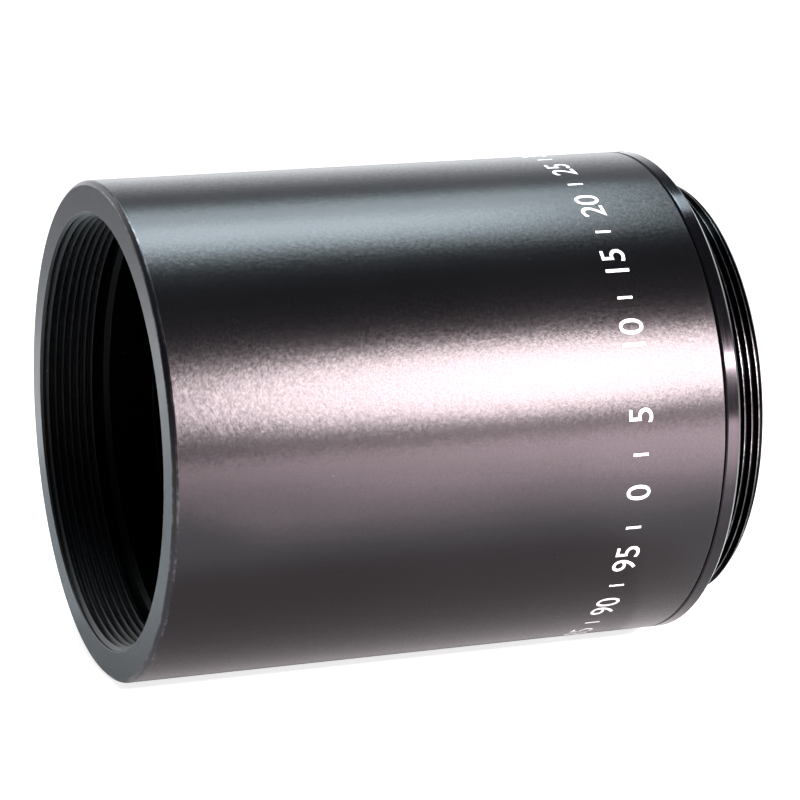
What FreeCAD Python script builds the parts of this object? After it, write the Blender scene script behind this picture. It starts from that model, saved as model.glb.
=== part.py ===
import FreeCAD, Part
import math
import os

# Teleconverter tube lying on its side, in millimetres, with its optical axis along X.
# A place is a depth behind the open front face. The finished pieces are then moved forwards,
# so that X = 0 is the rear flange plane, from which a camera's distance is measured.
# A step or a width is measured along the radius.

# The screw mount, the same at both ends
mount_thread_diameter = 42.0
mount_thread_pitch = 0.75

# Depth of a 60 degree thread along the radius, as a share of its pitch
nut_depth_share = 0.54127
screw_depth_share = 0.61343

# Outside of the body
body_wall_over_thread = 3.0
front_edge_chamfer = 0.45
seam_chamfer = 0.2
flange_thickness = 1.55
flange_edge_chamfer = 0.3

# Front mouth
front_thread_length = 5.6
mouth_chamfer = 0.45
front_relief_length = 0.9
front_relief_step = 0.3
front_bore_step = 0.4
front_bore_lead = 0.6
front_bore_length = 4.5

# Rear mount ring, and the spigot that holds it in the barrel
male_thread_length = 4.0
male_end_chamfer = 0.5
male_undercut_length = 0.8
male_undercut_margin = 0.14
flange_relief_depth = 0.2
flange_relief_step = 0.3
mount_wall = 1.8
rear_bore_chamfer = 0.3
spigot_step = 0.23
spigot_length = 5.8
spigot_overhang = 0.2
spigot_relief_length = 1.0
spigot_relief_step = 0.45

# Fits
thread_clearance = 0.03
slide_clearance = 0.03
thread_runout = 0.4

# Lock ring ahead of the cell
lock_thread_step = 0.35
lock_ring_width = 3.2
lock_ring_thickness = 2.6
lock_ring_setback = 0.6
lock_slot_width = 1.6
lock_slot_depth = 1.2

# Optical cell, its shim, and the shoulder in the barrel that stops them
cell_bore_step = 0.15
cell_land_length = 4.0
cell_waist_step = 1.0
cell_web_thickness = 1.4
cell_front_wall = 5.4
cell_rear_wall = 3.65
cell_rear_margin = 0.3
cell_chamfer = 0.3
shim_thickness = 0.4
shim_width = 1.8
shoulder_step = 2.1
shoulder_thickness = 1.4

# Chamber behind the shoulder, and the ridged sleeve in it
chamber_step = 1.2
chamber_length = 7.75
baffle_clearance = 0.2
baffle_wall = 1.0
baffle_ridge_height = 0.8
baffle_ridge_pitch = 1.0
baffle_crest_width = 0.15

# Front pair of lenses, cemented together, and their ring
front_ring_recess = 0.5
front_ring_thickness = 1.8
front_ring_step = 0.8
front_ring_funnel = 0.8
front_seat_width = 0.75
front_lens_center = 1.8
second_lens_edge = 2.35
front_face_curve = 45.0
cemented_curve = 24.0
second_rear_curve = 34.0

# Stop, and the two rear lenses with their spacers and ring
stop_thickness = 0.4
stop_width = 4.3
group_spacer_length = 2.9
rear_seat_width = 0.7
third_lens_edge = 0.95
third_front_curve = 118.7
third_rear_curve = 74.2
rear_air_gap = 0.4
rear_lens_edge = 1.4
rear_front_curve = 96.5
rear_rear_curve = 222.6
rear_ring_thickness = 1.4
rear_ring_step = 0.5

# Spanner slots of the two retaining rings
ring_slot_width = 1.2
ring_slot_depth = 0.8

# Radii of the mount and the body
mount_radius = mount_thread_diameter / 2
female_radius = mount_radius - nut_depth_share * mount_thread_pitch
relief_radius = mount_radius + front_relief_step
undercut_radius = mount_radius - screw_depth_share * mount_thread_pitch - male_undercut_margin
rear_bore_radius = mount_radius - mount_wall
body_radius = mount_radius + body_wall_over_thread

# Radii from the front bore inwards
front_bore_radius = female_radius - front_bore_step
lock_thread_radius = front_bore_radius - lock_thread_step
lock_ring_radius = lock_thread_radius - thread_clearance
lock_ring_inner_radius = lock_ring_radius - lock_ring_width
cell_bore_radius = lock_thread_radius - cell_bore_step
cell_radius = cell_bore_radius - slide_clearance
shim_inner_radius = cell_radius - shim_width
shoulder_radius = cell_bore_radius - shoulder_step

# Radii of the rear chamber
spigot_radius = mount_radius + spigot_step
spigot_thread_radius = spigot_radius + thread_clearance
spigot_relief_radius = spigot_thread_radius + spigot_relief_step
chamber_radius = spigot_thread_radius - chamber_step
baffle_radius = chamber_radius - baffle_clearance
baffle_root_radius = baffle_radius - baffle_wall
baffle_crest_radius = baffle_root_radius - baffle_ridge_height

# Radii in the cell
front_ring_thread_radius = cell_radius - cell_front_wall
front_ring_radius = front_ring_thread_radius - thread_clearance
front_pocket_radius = front_ring_thread_radius - front_ring_step
front_lens_radius = front_pocket_radius - slide_clearance
front_seat_radius = front_lens_radius - front_seat_width
rear_ring_thread_radius = cell_radius - cell_rear_wall
rear_ring_radius = rear_ring_thread_radius - thread_clearance
rear_pocket_radius = rear_ring_thread_radius - rear_ring_step
rear_lens_radius = rear_pocket_radius - slide_clearance
rear_seat_radius = rear_lens_radius - rear_seat_width
stop_radius = rear_lens_radius - stop_width


def sag(curve, height):
    """Depth of a sphere of this radius between its middle and this height."""
    return curve - math.sqrt(curve**2 - height**2)


# Depths of the mouth, the front bore and the lock ring
relief_start = front_thread_length
relief_end = relief_start + front_relief_length
bore_start = relief_end + front_bore_lead
lock_thread_start = bore_start + front_bore_length
lock_ring_start = lock_thread_start + lock_ring_setback
cell_start = lock_ring_start + lock_ring_thickness
cell_bore_start = cell_start + thread_runout

# Depths of the cemented pair: its flat front seat, three vertices and flat rear seat
front_ring_start = cell_start + front_ring_recess
front_seat = front_ring_start + front_ring_thickness
front_vertex = front_seat + sag(front_face_curve, front_seat_radius)
cement_vertex = front_vertex + front_lens_center
cement_rim = cement_vertex + sag(cemented_curve, front_lens_radius)
web_start = cement_rim + second_lens_edge
second_vertex = web_start - sag(second_rear_curve, front_seat_radius)

# Depths of the stop and the rear lenses
stop_start = web_start + cell_web_thickness
spacer_start = stop_start + stop_thickness
third_seat = spacer_start + group_spacer_length
third_vertex = third_seat - sag(third_front_curve, rear_seat_radius)
third_front_rim = third_vertex + sag(third_front_curve, rear_lens_radius)
third_rear_rim = third_front_rim + third_lens_edge
third_rear_vertex = third_rear_rim + sag(third_rear_curve, rear_lens_radius)
third_rear_seat = third_rear_vertex - sag(third_rear_curve, rear_seat_radius)
rear_vertex = third_rear_vertex + rear_air_gap
rear_seat = rear_vertex + sag(rear_front_curve, rear_seat_radius)
rear_front_rim = rear_vertex + sag(rear_front_curve, rear_lens_radius)
rear_rear_rim = rear_front_rim + rear_lens_edge
rear_rear_vertex = rear_rear_rim + sag(rear_rear_curve, rear_lens_radius)
rear_ring_start = rear_rear_vertex - sag(rear_rear_curve, rear_seat_radius)
rear_ring_end = rear_ring_start + rear_ring_thickness

# Depths of the cell's end, the shoulder, the chamber and the rear mount ring
cell_end = rear_ring_end + cell_rear_margin
shoulder_start = cell_end + shim_thickness
chamber_start = shoulder_start + shoulder_thickness
spigot_start = chamber_start + chamber_length
spigot_thread_start = spigot_start + spigot_overhang
seam = spigot_start + spigot_length
flange_plane = seam + flange_thickness
male_thread_start = flange_plane + male_undercut_length
male_thread_end = flange_plane + male_thread_length


def point(depth, radius):
    return FreeCAD.Vector(depth, 0, radius)


def line(start, end):
    return Part.makeLine(point(*start), point(*end))


def revolved(edges):
    """Solid of revolution about the optical axis, from the edges of a closed half section."""
    section = Part.Face(Part.Wire(Part.__sortEdges__(edges)))
    solid = section.revolve(FreeCAD.Vector(0, 0, 0), FreeCAD.Vector(1, 0, 0), 360)
    if solid.Volume < 0:
        solid.reverse()
    return solid


def turned(corners):
    """Solid of revolution whose half section has straight sides between its corners."""
    return revolved([line(a, b) for a, b in zip(corners, corners[1:] + corners[:1])])


def tube(start, end, inner_radius, outer_radius):
    return turned([
        (start, inner_radius),
        (end, inner_radius),
        (end, outer_radius),
        (start, outer_radius),
    ])


def sphere_edge(vertex, bulge, curve, rim_radius):
    """Half section of a lens surface. Its bulge is 1 where the rim lies behind the middle, or -1."""
    half_radius = rim_radius / 2
    halfway = point(vertex + bulge * sag(curve, half_radius), half_radius)
    rim = point(vertex + bulge * sag(curve, rim_radius), rim_radius)
    return Part.Arc(point(vertex, 0), halfway, rim).toShape()


def slotted(ring, slot_start, slot_depth, slot_width, ring_radius):
    """Ring with one straight slot across its face, which leaves a spanner notch on each side."""
    corner = FreeCAD.Vector(slot_start, -slot_width / 2, -ring_radius)
    return ring.cut(Part.makeBox(slot_depth, slot_width, 2 * ring_radius, corner))


def barrel():
    """Main tube: its outside from the front edge to the seam, then its bore back to the front."""
    return turned([
        (0, body_radius - front_edge_chamfer),
        (front_edge_chamfer, body_radius),
        (seam - seam_chamfer, body_radius),
        (seam, body_radius - seam_chamfer),
        (seam, spigot_thread_radius),
        (spigot_thread_start, spigot_thread_radius),
        (spigot_thread_start, spigot_relief_radius),
        (spigot_thread_start - spigot_relief_length, spigot_relief_radius),
        (spigot_thread_start - spigot_relief_length, chamber_radius),
        (chamber_start, chamber_radius),
        (chamber_start, shoulder_radius),
        (shoulder_start, shoulder_radius),
        (shoulder_start, cell_bore_radius),
        (cell_bore_start, cell_bore_radius),
        (cell_bore_start, lock_thread_radius),
        (lock_thread_start, lock_thread_radius),
        (lock_thread_start, front_bore_radius),
        (bore_start, front_bore_radius),
        (relief_end, front_bore_radius + front_bore_lead),
        (relief_end, relief_radius),
        (relief_start, relief_radius),
        (relief_start, female_radius),
        (mouth_chamfer, female_radius),
        (0, female_radius + mouth_chamfer),
    ])


def rear_mount_ring():
    """Flange with the male mount thread behind it and the spigot ahead of it.

    A shallow recess round the thread's undercut leaves the flange a seat that clears the thread.
    """
    seat_inner_radius = mount_radius + flange_relief_step
    return turned([
        (spigot_start, rear_bore_radius),
        (male_thread_end - rear_bore_chamfer, rear_bore_radius),
        (male_thread_end, rear_bore_radius + rear_bore_chamfer),
        (male_thread_end, mount_radius - male_end_chamfer),
        (male_thread_end - male_end_chamfer, mount_radius),
        (male_thread_start, mount_radius),
        (male_thread_start, undercut_radius),
        (flange_plane - flange_relief_depth, undercut_radius),
        (flange_plane - flange_relief_depth, seat_inner_radius),
        (flange_plane, seat_inner_radius),
        (flange_plane, body_radius - flange_edge_chamfer),
        (flange_plane - flange_edge_chamfer, body_radius),
        (seam + seam_chamfer, body_radius),
        (seam, body_radius - seam_chamfer),
        (seam, spigot_radius),
        (spigot_start, spigot_radius),
    ])


def cell_lock_ring():
    ring = tube(lock_ring_start, cell_start, lock_ring_inner_radius, lock_ring_radius)
    return slotted(ring, lock_ring_start, lock_slot_depth, lock_slot_width, lock_ring_radius)


def optical_cell():
    """Sleeve with a pocket for glass at each end, a web between them and a slim waist outside."""
    waist_radius = cell_radius - cell_waist_step
    front_thread_end = front_seat + thread_runout
    rear_thread_start = rear_ring_start - thread_runout
    waist_start = cell_start + cell_land_length
    waist_end = cell_end - cell_land_length
    return turned([
        (cell_start, front_ring_thread_radius),
        (front_thread_end, front_ring_thread_radius),
        (front_thread_end, front_pocket_radius),
        (web_start, front_pocket_radius),
        (web_start, front_seat_radius),
        (stop_start, front_seat_radius),
        (stop_start, rear_pocket_radius),
        (rear_thread_start, rear_pocket_radius),
        (rear_thread_start, rear_ring_thread_radius),
        (cell_end, rear_ring_thread_radius),
        (cell_end, cell_radius - cell_chamfer),
        (cell_end - cell_chamfer, cell_radius),
        (waist_end, cell_radius),
        (waist_end - cell_waist_step, waist_radius),
        (waist_start + cell_waist_step, waist_radius),
        (waist_start, cell_radius),
        (cell_start + cell_chamfer, cell_radius),
        (cell_start, cell_radius - cell_chamfer),
    ])


def cell_shim():
    return tube(cell_end, shoulder_start, shim_inner_radius, cell_radius)


def front_retaining_ring():
    """Ring with a funnel mouth, so that its edge throws little light back."""
    ring = turned([
        (front_ring_start, front_seat_radius + front_ring_funnel),
        (front_seat, front_seat_radius),
        (front_seat, front_ring_radius),
        (front_ring_start, front_ring_radius),
    ])
    return slotted(ring, front_ring_start, ring_slot_depth, ring_slot_width, front_ring_radius)


def front_lens():
    """Biconcave lens with a flat seat round its front and the cemented surface behind."""
    return revolved([
        sphere_edge(front_vertex, -1, front_face_curve, front_seat_radius),
        line((front_seat, front_seat_radius), (front_seat, front_lens_radius)),
        line((front_seat, front_lens_radius), (cement_rim, front_lens_radius)),
        sphere_edge(cement_vertex, 1, cemented_curve, front_lens_radius),
        line((front_vertex, 0), (cement_vertex, 0)),
    ])


def second_lens():
    """Meniscus with the cemented surface ahead and a flat seat round its back."""
    return revolved([
        sphere_edge(cement_vertex, 1, cemented_curve, front_lens_radius),
        line((cement_rim, front_lens_radius), (web_start, front_lens_radius)),
        line((web_start, front_lens_radius), (web_start, front_seat_radius)),
        sphere_edge(second_vertex, 1, second_rear_curve, front_seat_radius),
        line((cement_vertex, 0), (second_vertex, 0)),
    ])


def aperture_stop():
    return tube(stop_start, spacer_start, stop_radius, rear_lens_radius)


def group_spacer():
    return tube(spacer_start, third_seat, rear_seat_radius, rear_lens_radius)


def third_lens():
    return revolved([
        sphere_edge(third_vertex, 1, third_front_curve, rear_lens_radius),
        line((third_front_rim, rear_lens_radius), (third_rear_rim, rear_lens_radius)),
        sphere_edge(third_rear_vertex, -1, third_rear_curve, rear_lens_radius),
        line((third_vertex, 0), (third_rear_vertex, 0)),
    ])


def lens_spacer():
    return tube(third_rear_seat, rear_seat, rear_seat_radius, rear_lens_radius)


def rear_lens():
    return revolved([
        sphere_edge(rear_vertex, 1, rear_front_curve, rear_lens_radius),
        line((rear_front_rim, rear_lens_radius), (rear_rear_rim, rear_lens_radius)),
        sphere_edge(rear_rear_vertex, -1, rear_rear_curve, rear_lens_radius),
        line((rear_vertex, 0), (rear_rear_vertex, 0)),
    ])


def rear_retaining_ring():
    ring = tube(rear_ring_start, rear_ring_end, rear_seat_radius, rear_ring_radius)
    slot_start = rear_ring_end - ring_slot_depth
    return slotted(ring, slot_start, ring_slot_depth, ring_slot_width, rear_ring_radius)


def light_baffle():
    """Sleeve with saw-tooth ridges inside, clamped between the shoulder and the spigot."""
    ridge_count = int(chamber_length / baffle_ridge_pitch)
    end_land = (chamber_length - ridge_count * baffle_ridge_pitch) / 2
    corners = [
        (spigot_start, baffle_root_radius),
        (spigot_start, baffle_radius),
        (chamber_start, baffle_radius),
        (chamber_start, baffle_root_radius),
    ]
    for number in range(ridge_count):
        ridge_start = chamber_start + end_land + number * baffle_ridge_pitch
        corners += [
            (ridge_start, baffle_root_radius),
            (ridge_start, baffle_crest_radius),
            (ridge_start + baffle_crest_width, baffle_crest_radius),
            (ridge_start + baffle_ridge_pitch, baffle_root_radius),
        ]
    neighbours = zip(corners, corners[1:] + corners[:1])
    return turned([a for a, b in neighbours if not point(*a).isEqual(point(*b), 1e-6)])


pieces = [
    barrel,
    rear_mount_ring,
    cell_lock_ring,
    optical_cell,
    cell_shim,
    front_retaining_ring,
    front_lens,
    second_lens,
    aperture_stop,
    group_spacer,
    third_lens,
    lens_spacer,
    rear_lens,
    rear_retaining_ring,
    light_baffle,
]

os.makedirs("parts", exist_ok=True)
for piece in pieces:
    solid = piece()
    solid.translate(FreeCAD.Vector(-flange_plane, 0, 0))
    solid.exportStep(f"parts/{piece.__name__}.step")
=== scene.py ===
"""Looks of a teleconverter tube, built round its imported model.

The tube lies along X with its open end towards -X. Its rear flange plane is X = 0. Sizes in the
classes are in millimetres, and meshes are made in metres.
"""

import logging
import math
from collections.abc import Sequence
from dataclasses import dataclass
from enum import Enum
from typing import ClassVar

import bmesh
import bpy
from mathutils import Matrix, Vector


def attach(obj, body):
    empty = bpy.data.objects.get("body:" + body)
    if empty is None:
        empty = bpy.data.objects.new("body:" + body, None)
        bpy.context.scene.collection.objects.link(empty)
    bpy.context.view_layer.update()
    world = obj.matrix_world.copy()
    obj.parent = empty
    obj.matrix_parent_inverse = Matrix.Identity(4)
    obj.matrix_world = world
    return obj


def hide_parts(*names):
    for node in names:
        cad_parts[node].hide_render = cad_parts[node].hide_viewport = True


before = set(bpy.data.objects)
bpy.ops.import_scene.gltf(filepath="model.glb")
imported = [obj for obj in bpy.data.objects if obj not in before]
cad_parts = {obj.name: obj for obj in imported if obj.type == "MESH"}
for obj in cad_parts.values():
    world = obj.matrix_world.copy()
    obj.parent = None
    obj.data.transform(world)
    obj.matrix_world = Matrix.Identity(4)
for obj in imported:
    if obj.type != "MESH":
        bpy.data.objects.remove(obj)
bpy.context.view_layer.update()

MM = 0.001
TINY = 1e-6
SHARP = 32.0
BODY = "root"
WEAR = "wear"
Place = tuple[float, float, float]
Colour = tuple[float, float, float]
Socket = bpy.types.NodeSocket
Value = float | int | tuple | Socket
Inputs = dict[str | int, Value]
Skin = bpy.types.Material
Piece = bpy.types.Object
Shape = bmesh.types.BMesh
Vert = bmesh.types.BMVert
Ring = list[Vert]

log = logging.getLogger("teleconverter")


class ThreadKind(Enum):
    """Which way the crests of a thread point: towards the axis in a hole, away from it on a shaft."""

    HOLE = -1
    SHAFT = 1


class Surface(Enum):
    """How a finish was left by the shop: the name of the node group that draws it."""

    BLASTED = "bead_grain"
    TURNED = "lathe_marks"


# Shader trees


class Tree:
    """Short calls that add nodes to one node tree and join them."""

    def __init__(self, tree: bpy.types.NodeTree) -> None:
        """Keeps the tree that the calls work on."""
        self.tree = tree

    def plug(self, socket: Socket, value: Value) -> None:
        """Feeds one input.

        Args:
            socket: the input.
            value: a socket, which is linked to it, or a value, which is set on it.
        """
        if isinstance(value, Socket):
            self.tree.links.new(value, socket)
        else:
            socket.default_value = (*value[:3], 1.0) if socket.type == "RGBA" else value

    def add(self, kind: str, sockets: Inputs | None = None, **settings: object) -> bpy.types.Node:
        """Adds one node.

        Args:
            kind: Blender's name of the node type.
            sockets: sockets or values for its inputs.
            settings: properties of the node itself.

        Returns:
            The new node.
        """
        node = self.tree.nodes.new(kind)
        for name, setting in settings.items():
            setattr(node, name, setting)
        for name, value in (sockets or {}).items():
            self.plug(node.inputs[name], value)
        return node

    def math(self, operation: str, *values: Value) -> Socket:
        """Result of one Math node."""
        return self.add("ShaderNodeMath", dict(enumerate(values)), operation=operation).outputs[0]

    def vector(self, operation: str, *values: Value) -> Socket:
        """Result of one Vector Math node."""
        return self.add("ShaderNodeVectorMath", dict(enumerate(values)), operation=operation).outputs[0]

    def scaled(self, vector: Value, factor: Value) -> Socket:
        """A vector or a colour times a number."""
        return self.add("ShaderNodeVectorMath", {0: vector, "Scale": factor}, operation="SCALE").outputs[0]

    def noise(
        self, place: Value, scale: Value, detail: float, rough: float = 0.5, output: str = "Fac"
    ) -> Socket:
        """Noise between 0 and 1, with a middle of 0.5; its Color output holds three noises."""
        sockets = {"Vector": place, "Scale": scale, "Detail": detail, "Roughness": rough}
        return self.add("ShaderNodeTexNoise", sockets).outputs[output]

    def ramp(self, value: Value, low: float, high: float, start: float = 0.0, end: float = 1.0) -> Socket:
        """A smooth step from start to end while the value goes from low to high."""
        sockets = {0: value, 1: low, 2: high, 3: start, 4: end}
        return self.add("ShaderNodeMapRange", sockets, interpolation_type="SMOOTHSTEP").outputs[0]

    def mix(self, factor: Value, first: Value, second: Value) -> Socket:
        """A colour between two."""
        return self.add("ShaderNodeMix", {0: factor, 6: first, 7: second}, data_type="RGBA").outputs[2]

    def blend(self, factor: Value, first: Value, second: Value) -> Socket:
        """A number between two."""
        return self.add("ShaderNodeMix", {0: factor, 2: first, 3: second}).outputs[0]


GREY = (0.5, 0.5, 0.5, 1.0)
SKIN_INPUTS = {"Place": (0.0, 0.0, 0.0), "Color": GREY, "Roughness": 0.3}
COVER_INPUTS = {**SKIN_INPUTS, "Amount": 0.2}
GRAIN_INPUTS = {**SKIN_INPUTS, "Size": 0.1, "Depth": 0.001, "Contrast": 0.2, "Spread": 0.1}
COVER_OUTPUTS = {"Color": "Color", "Roughness": "Float"}
GRAIN_OUTPUTS = {**COVER_OUTPUTS, "Normal": "Vector"}


class Group(Tree):
    """A shader node group with named sockets; its place is the given one in millimetres."""

    def __init__(self, name: str, inputs: dict[str, float | tuple], outputs: dict[str, str]) -> None:
        """Makes the group's interface.

        Args:
            name: name of the group.
            inputs: its inputs, with their first values.
            outputs: its outputs, with their socket types.
        """
        super().__init__(bpy.data.node_groups.new(name, "ShaderNodeTree"))
        for label, value in inputs.items():
            kind = "Float" if isinstance(value, float) else "Vector" if len(value) == 3 else "Color"
            made = self.tree.interface.new_socket(label, in_out="INPUT", socket_type=f"NodeSocket{kind}")
            made.default_value = value
        for label, kind in outputs.items():
            self.tree.interface.new_socket(label, in_out="OUTPUT", socket_type=f"NodeSocket{kind}")
        self.given = self.tree.nodes.new("NodeGroupInput").outputs
        self.result = self.tree.nodes.new("NodeGroupOutput").inputs
        self.place = self.scaled(self.given["Place"], 1 / MM)

    def engrave(self, height: Socket, **laid_on: Socket) -> None:
        """Feeds the group's normal.

        Args:
            height: height between 0 and 1, as a share of the group's depth.
            laid_on: the Normal under it, where it isn't the surface's own.
        """
        depth = self.math("MULTIPLY", self.given["Depth"], MM)
        bump = self.add("ShaderNodeBump", {"Height": height, "Distance": depth, "Strength": 1.0, **laid_on})
        self.plug(self.result["Normal"], bump.outputs[0])

    def vary(self, tone: Socket, uneven: Socket, patch: Socket) -> None:
        """Feeds the group's colour and roughness from noises.

        Args:
            tone: noise that makes the colour paler and darker.
            uneven: noise that makes the skin rougher and smoother.
            patch: slow change round 0 that both follow.
        """
        given = self.given
        tone, uneven = (
            self.math("ADD", self.math("SUBTRACT", value, 0.5), patch) for value in (tone, uneven)
        )
        factor = self.math("MULTIPLY_ADD", tone, given["Contrast"], 1.0)
        self.plug(self.result["Color"], self.scaled(given["Color"], factor))
        roughness = self.math("MULTIPLY_ADD", uneven, given["Spread"], given["Roughness"])
        self.plug(self.result["Roughness"], roughness)

    def cover(self, shown: Socket, colour: Value, roughness: Value) -> None:
        """Feeds the group's colour and roughness where a new skin covers the given one.

        Args:
            shown: share of the new skin.
            colour: its colour.
            roughness: its roughness.
        """
        mask = self.math("MULTIPLY", shown, self.given["Amount"])
        self.plug(self.result["Color"], self.mix(mask, self.given["Color"], colour))
        self.plug(self.result["Roughness"], self.blend(mask, self.given["Roughness"], roughness))


class Effects:
    """The node groups that the finishes share. Lengths in them are in millimetres."""

    FINE_SCALE, FINE_HEIGHT, FLECK_SCALE, FLECK_DETAIL = 2.1, 0.4, 0.6, 0.7
    BLASTED_PATCH_SCALE, BLASTED_PATCH_SHARE = 0.09, 0.4
    MARK_SLANT, MARK_BREAKS, BROAD_SCALE, BROAD_HEIGHT, TURNED_PATCH_SCALE = 1.13, 0.25, 0.17, 0.6, 0.3
    SCUFF_SCALE, WORN_PLACE_SCALE, SCUFF_LIMITS = 1.6, 0.25, (0.2, 0.36)
    SPECK_SCALE, SPECK_EDGE, SPECK_PICK = 0.9, (0.05, 0.09), (0.9, 0.93)
    FILM_SLOPE, FILM_SCALE, FILM_SHARE = (0.3, 1.0), 0.8, 0.03
    DUST_COLOUR, DUST_ROUGHNESS = (0.55, 0.53, 0.5), 0.85

    @classmethod
    def build(cls) -> None:
        """Builds each group once."""
        for make in (cls.bead_grain, cls.lathe_marks, cls.edge_wear, cls.dust):
            make()

    @classmethod
    def bead_grain(cls) -> None:
        """Fine dimples of bead-blasted metal, and flecks where its skin leans by the given tilt."""
        group = Group("bead_grain", {**GRAIN_INPUTS, "Tilt": 0.1}, GRAIN_OUTPUTS)
        per_mm = group.math("DIVIDE", 1.0, group.given["Size"])
        coarse = group.noise(group.place, per_mm, 0.0)
        fine = group.noise(group.place, group.math("MULTIPLY", per_mm, cls.FINE_SCALE), 0.0)
        flecks_per_mm = group.math("MULTIPLY", per_mm, cls.FLECK_SCALE)
        flecks = group.noise(group.place, flecks_per_mm, cls.FLECK_DETAIL, output="Color")
        lean = group.scaled(group.vector("SUBTRACT", flecks, (0.5, 0.5, 0.5)), group.given["Tilt"])
        leant = group.vector("ADD", group.add("ShaderNodeNewGeometry").outputs["Normal"], lean)
        height = group.math("MULTIPLY_ADD", fine, cls.FINE_HEIGHT, coarse)
        group.engrave(height, Normal=group.vector("NORMALIZE", leant))
        share = cls.BLASTED_PATCH_SHARE
        patch = group.noise(group.place, cls.BLASTED_PATCH_SCALE, 1.0)
        group.vary(fine, coarse, group.math("MULTIPLY_ADD", patch, share, -0.5 * share))

    @classmethod
    def lathe_marks(cls) -> None:
        """Tool marks that run round the optical axis, spaced by the given size."""
        group = Group("lathe_marks", GRAIN_INPUTS, GRAIN_OUTPUTS)
        x, y, z = group.add("ShaderNodeSeparateXYZ", {0: group.place}).outputs
        flat = group.add("ShaderNodeCombineXYZ", {1: y, 2: z}).outputs[0]
        radius = group.add("ShaderNodeVectorMath", {0: flat}, operation="LENGTH").outputs["Value"]
        across = group.math("MULTIPLY_ADD", radius, cls.MARK_SLANT, x)
        turns = group.math("DIVIDE", across, group.given["Size"])
        breaks = (group.math("MULTIPLY", side, cls.MARK_BREAKS) for side in (y, z))
        spot = group.add("ShaderNodeCombineXYZ", dict(enumerate((turns, *breaks)))).outputs[0]
        line = group.noise(spot, 1.0, 0.0)
        broad = group.noise(group.scaled(spot, cls.BROAD_SCALE), 1.0, 1.0)
        group.engrave(group.math("MULTIPLY_ADD", broad, cls.BROAD_HEIGHT, line))
        patch = group.noise(group.place, cls.TURNED_PATCH_SCALE, 1.0)
        group.vary(broad, line, group.math("SUBTRACT", patch, 0.5))

    @classmethod
    def edge_wear(cls) -> None:
        """Bare metal where the mesh marks an edge that hands and threads rub."""
        inputs = {**COVER_INPUTS, "Worn Color": GREY, "Worn Roughness": 0.25}
        group = Group("edge_wear", inputs, COVER_OUTPUTS)
        edge = group.add("ShaderNodeAttribute", attribute_name=WEAR).outputs["Fac"]
        scuffs = group.noise(group.place, cls.SCUFF_SCALE, 3.0, 0.7)
        broken = group.math("MULTIPLY", scuffs, group.noise(group.place, cls.WORN_PLACE_SCALE, 1.0))
        rubbed = group.ramp(group.math("MULTIPLY", broken, edge), *cls.SCUFF_LIMITS)
        group.cover(rubbed, group.given["Worn Color"], group.given["Worn Roughness"])

    @classmethod
    def dust(cls) -> None:
        """Sparse pale specks, with a thin film on what faces up."""
        group = Group("dust", COVER_INPUTS, COVER_OUTPUTS)
        cells = group.add("ShaderNodeTexVoronoi", {"Vector": group.place, "Scale": cls.SPECK_SCALE}).outputs
        near = group.ramp(cells["Distance"], *cls.SPECK_EDGE, 1.0, 0.0)
        pick = group.add("ShaderNodeSeparateColor", {0: cells["Color"]}).outputs[0]
        speck = group.math("MULTIPLY", near, group.ramp(pick, *cls.SPECK_PICK))
        normal = group.add("ShaderNodeNewGeometry").outputs["Normal"]
        up = group.add("ShaderNodeSeparateXYZ", {0: normal}).outputs[2]
        clouds = group.noise(group.place, cls.FILM_SCALE, 2.0, 0.7)
        film = group.math("MULTIPLY", group.ramp(up, *cls.FILM_SLOPE), clouds)
        shown = group.math("MULTIPLY_ADD", film, cls.FILM_SHARE, speck)
        group.cover(shown, cls.DUST_COLOUR, cls.DUST_ROUGHNESS)


# Finishes


class Dressing(Tree):
    """The node tree of a new material, with a Principled BSDF in it."""

    def __init__(self, name: str) -> None:
        """Makes the material.

        Args:
            name: name of the material.
        """
        self.material = bpy.data.materials.new(name)
        self.material.use_nodes = True
        super().__init__(self.material.node_tree)
        self.shader = self.tree.nodes["Principled BSDF"]
        self.place = self.add("ShaderNodeTexCoord").outputs["Object"]

    def group(self, name: str, **sockets: Value) -> bpy.types.Node:
        """Places a shared group.

        Args:
            name: name of the group.
            sockets: values for its inputs, named in lower case and with _ for a space.

        Returns:
            The new node.
        """
        node = self.add("ShaderNodeGroup", node_tree=bpy.data.node_groups[name])
        for label, value in {"place": self.place, **sockets}.items():
            self.plug(node.inputs[label.replace("_", " ").title()], value)
        return node

    def over(self, under: bpy.types.Node, name: str, **sockets: Value) -> bpy.types.Node:
        """Places a shared group that covers the skin of another."""
        return self.group(name, color=under.outputs["Color"], roughness=under.outputs["Roughness"], **sockets)

    def feed(self, **values: Value) -> None:
        """Feeds the shader; its sockets are named with _ for a space."""
        for label, value in values.items():
            self.plug(self.shader.inputs[label.replace("_", " ")], value)

    def wear_skin(self, skin: bpy.types.Node) -> None:
        """Feeds the colour and roughness of the last group to the shader."""
        self.feed(Base_Color=skin.outputs["Color"], Roughness=skin.outputs["Roughness"])


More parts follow.
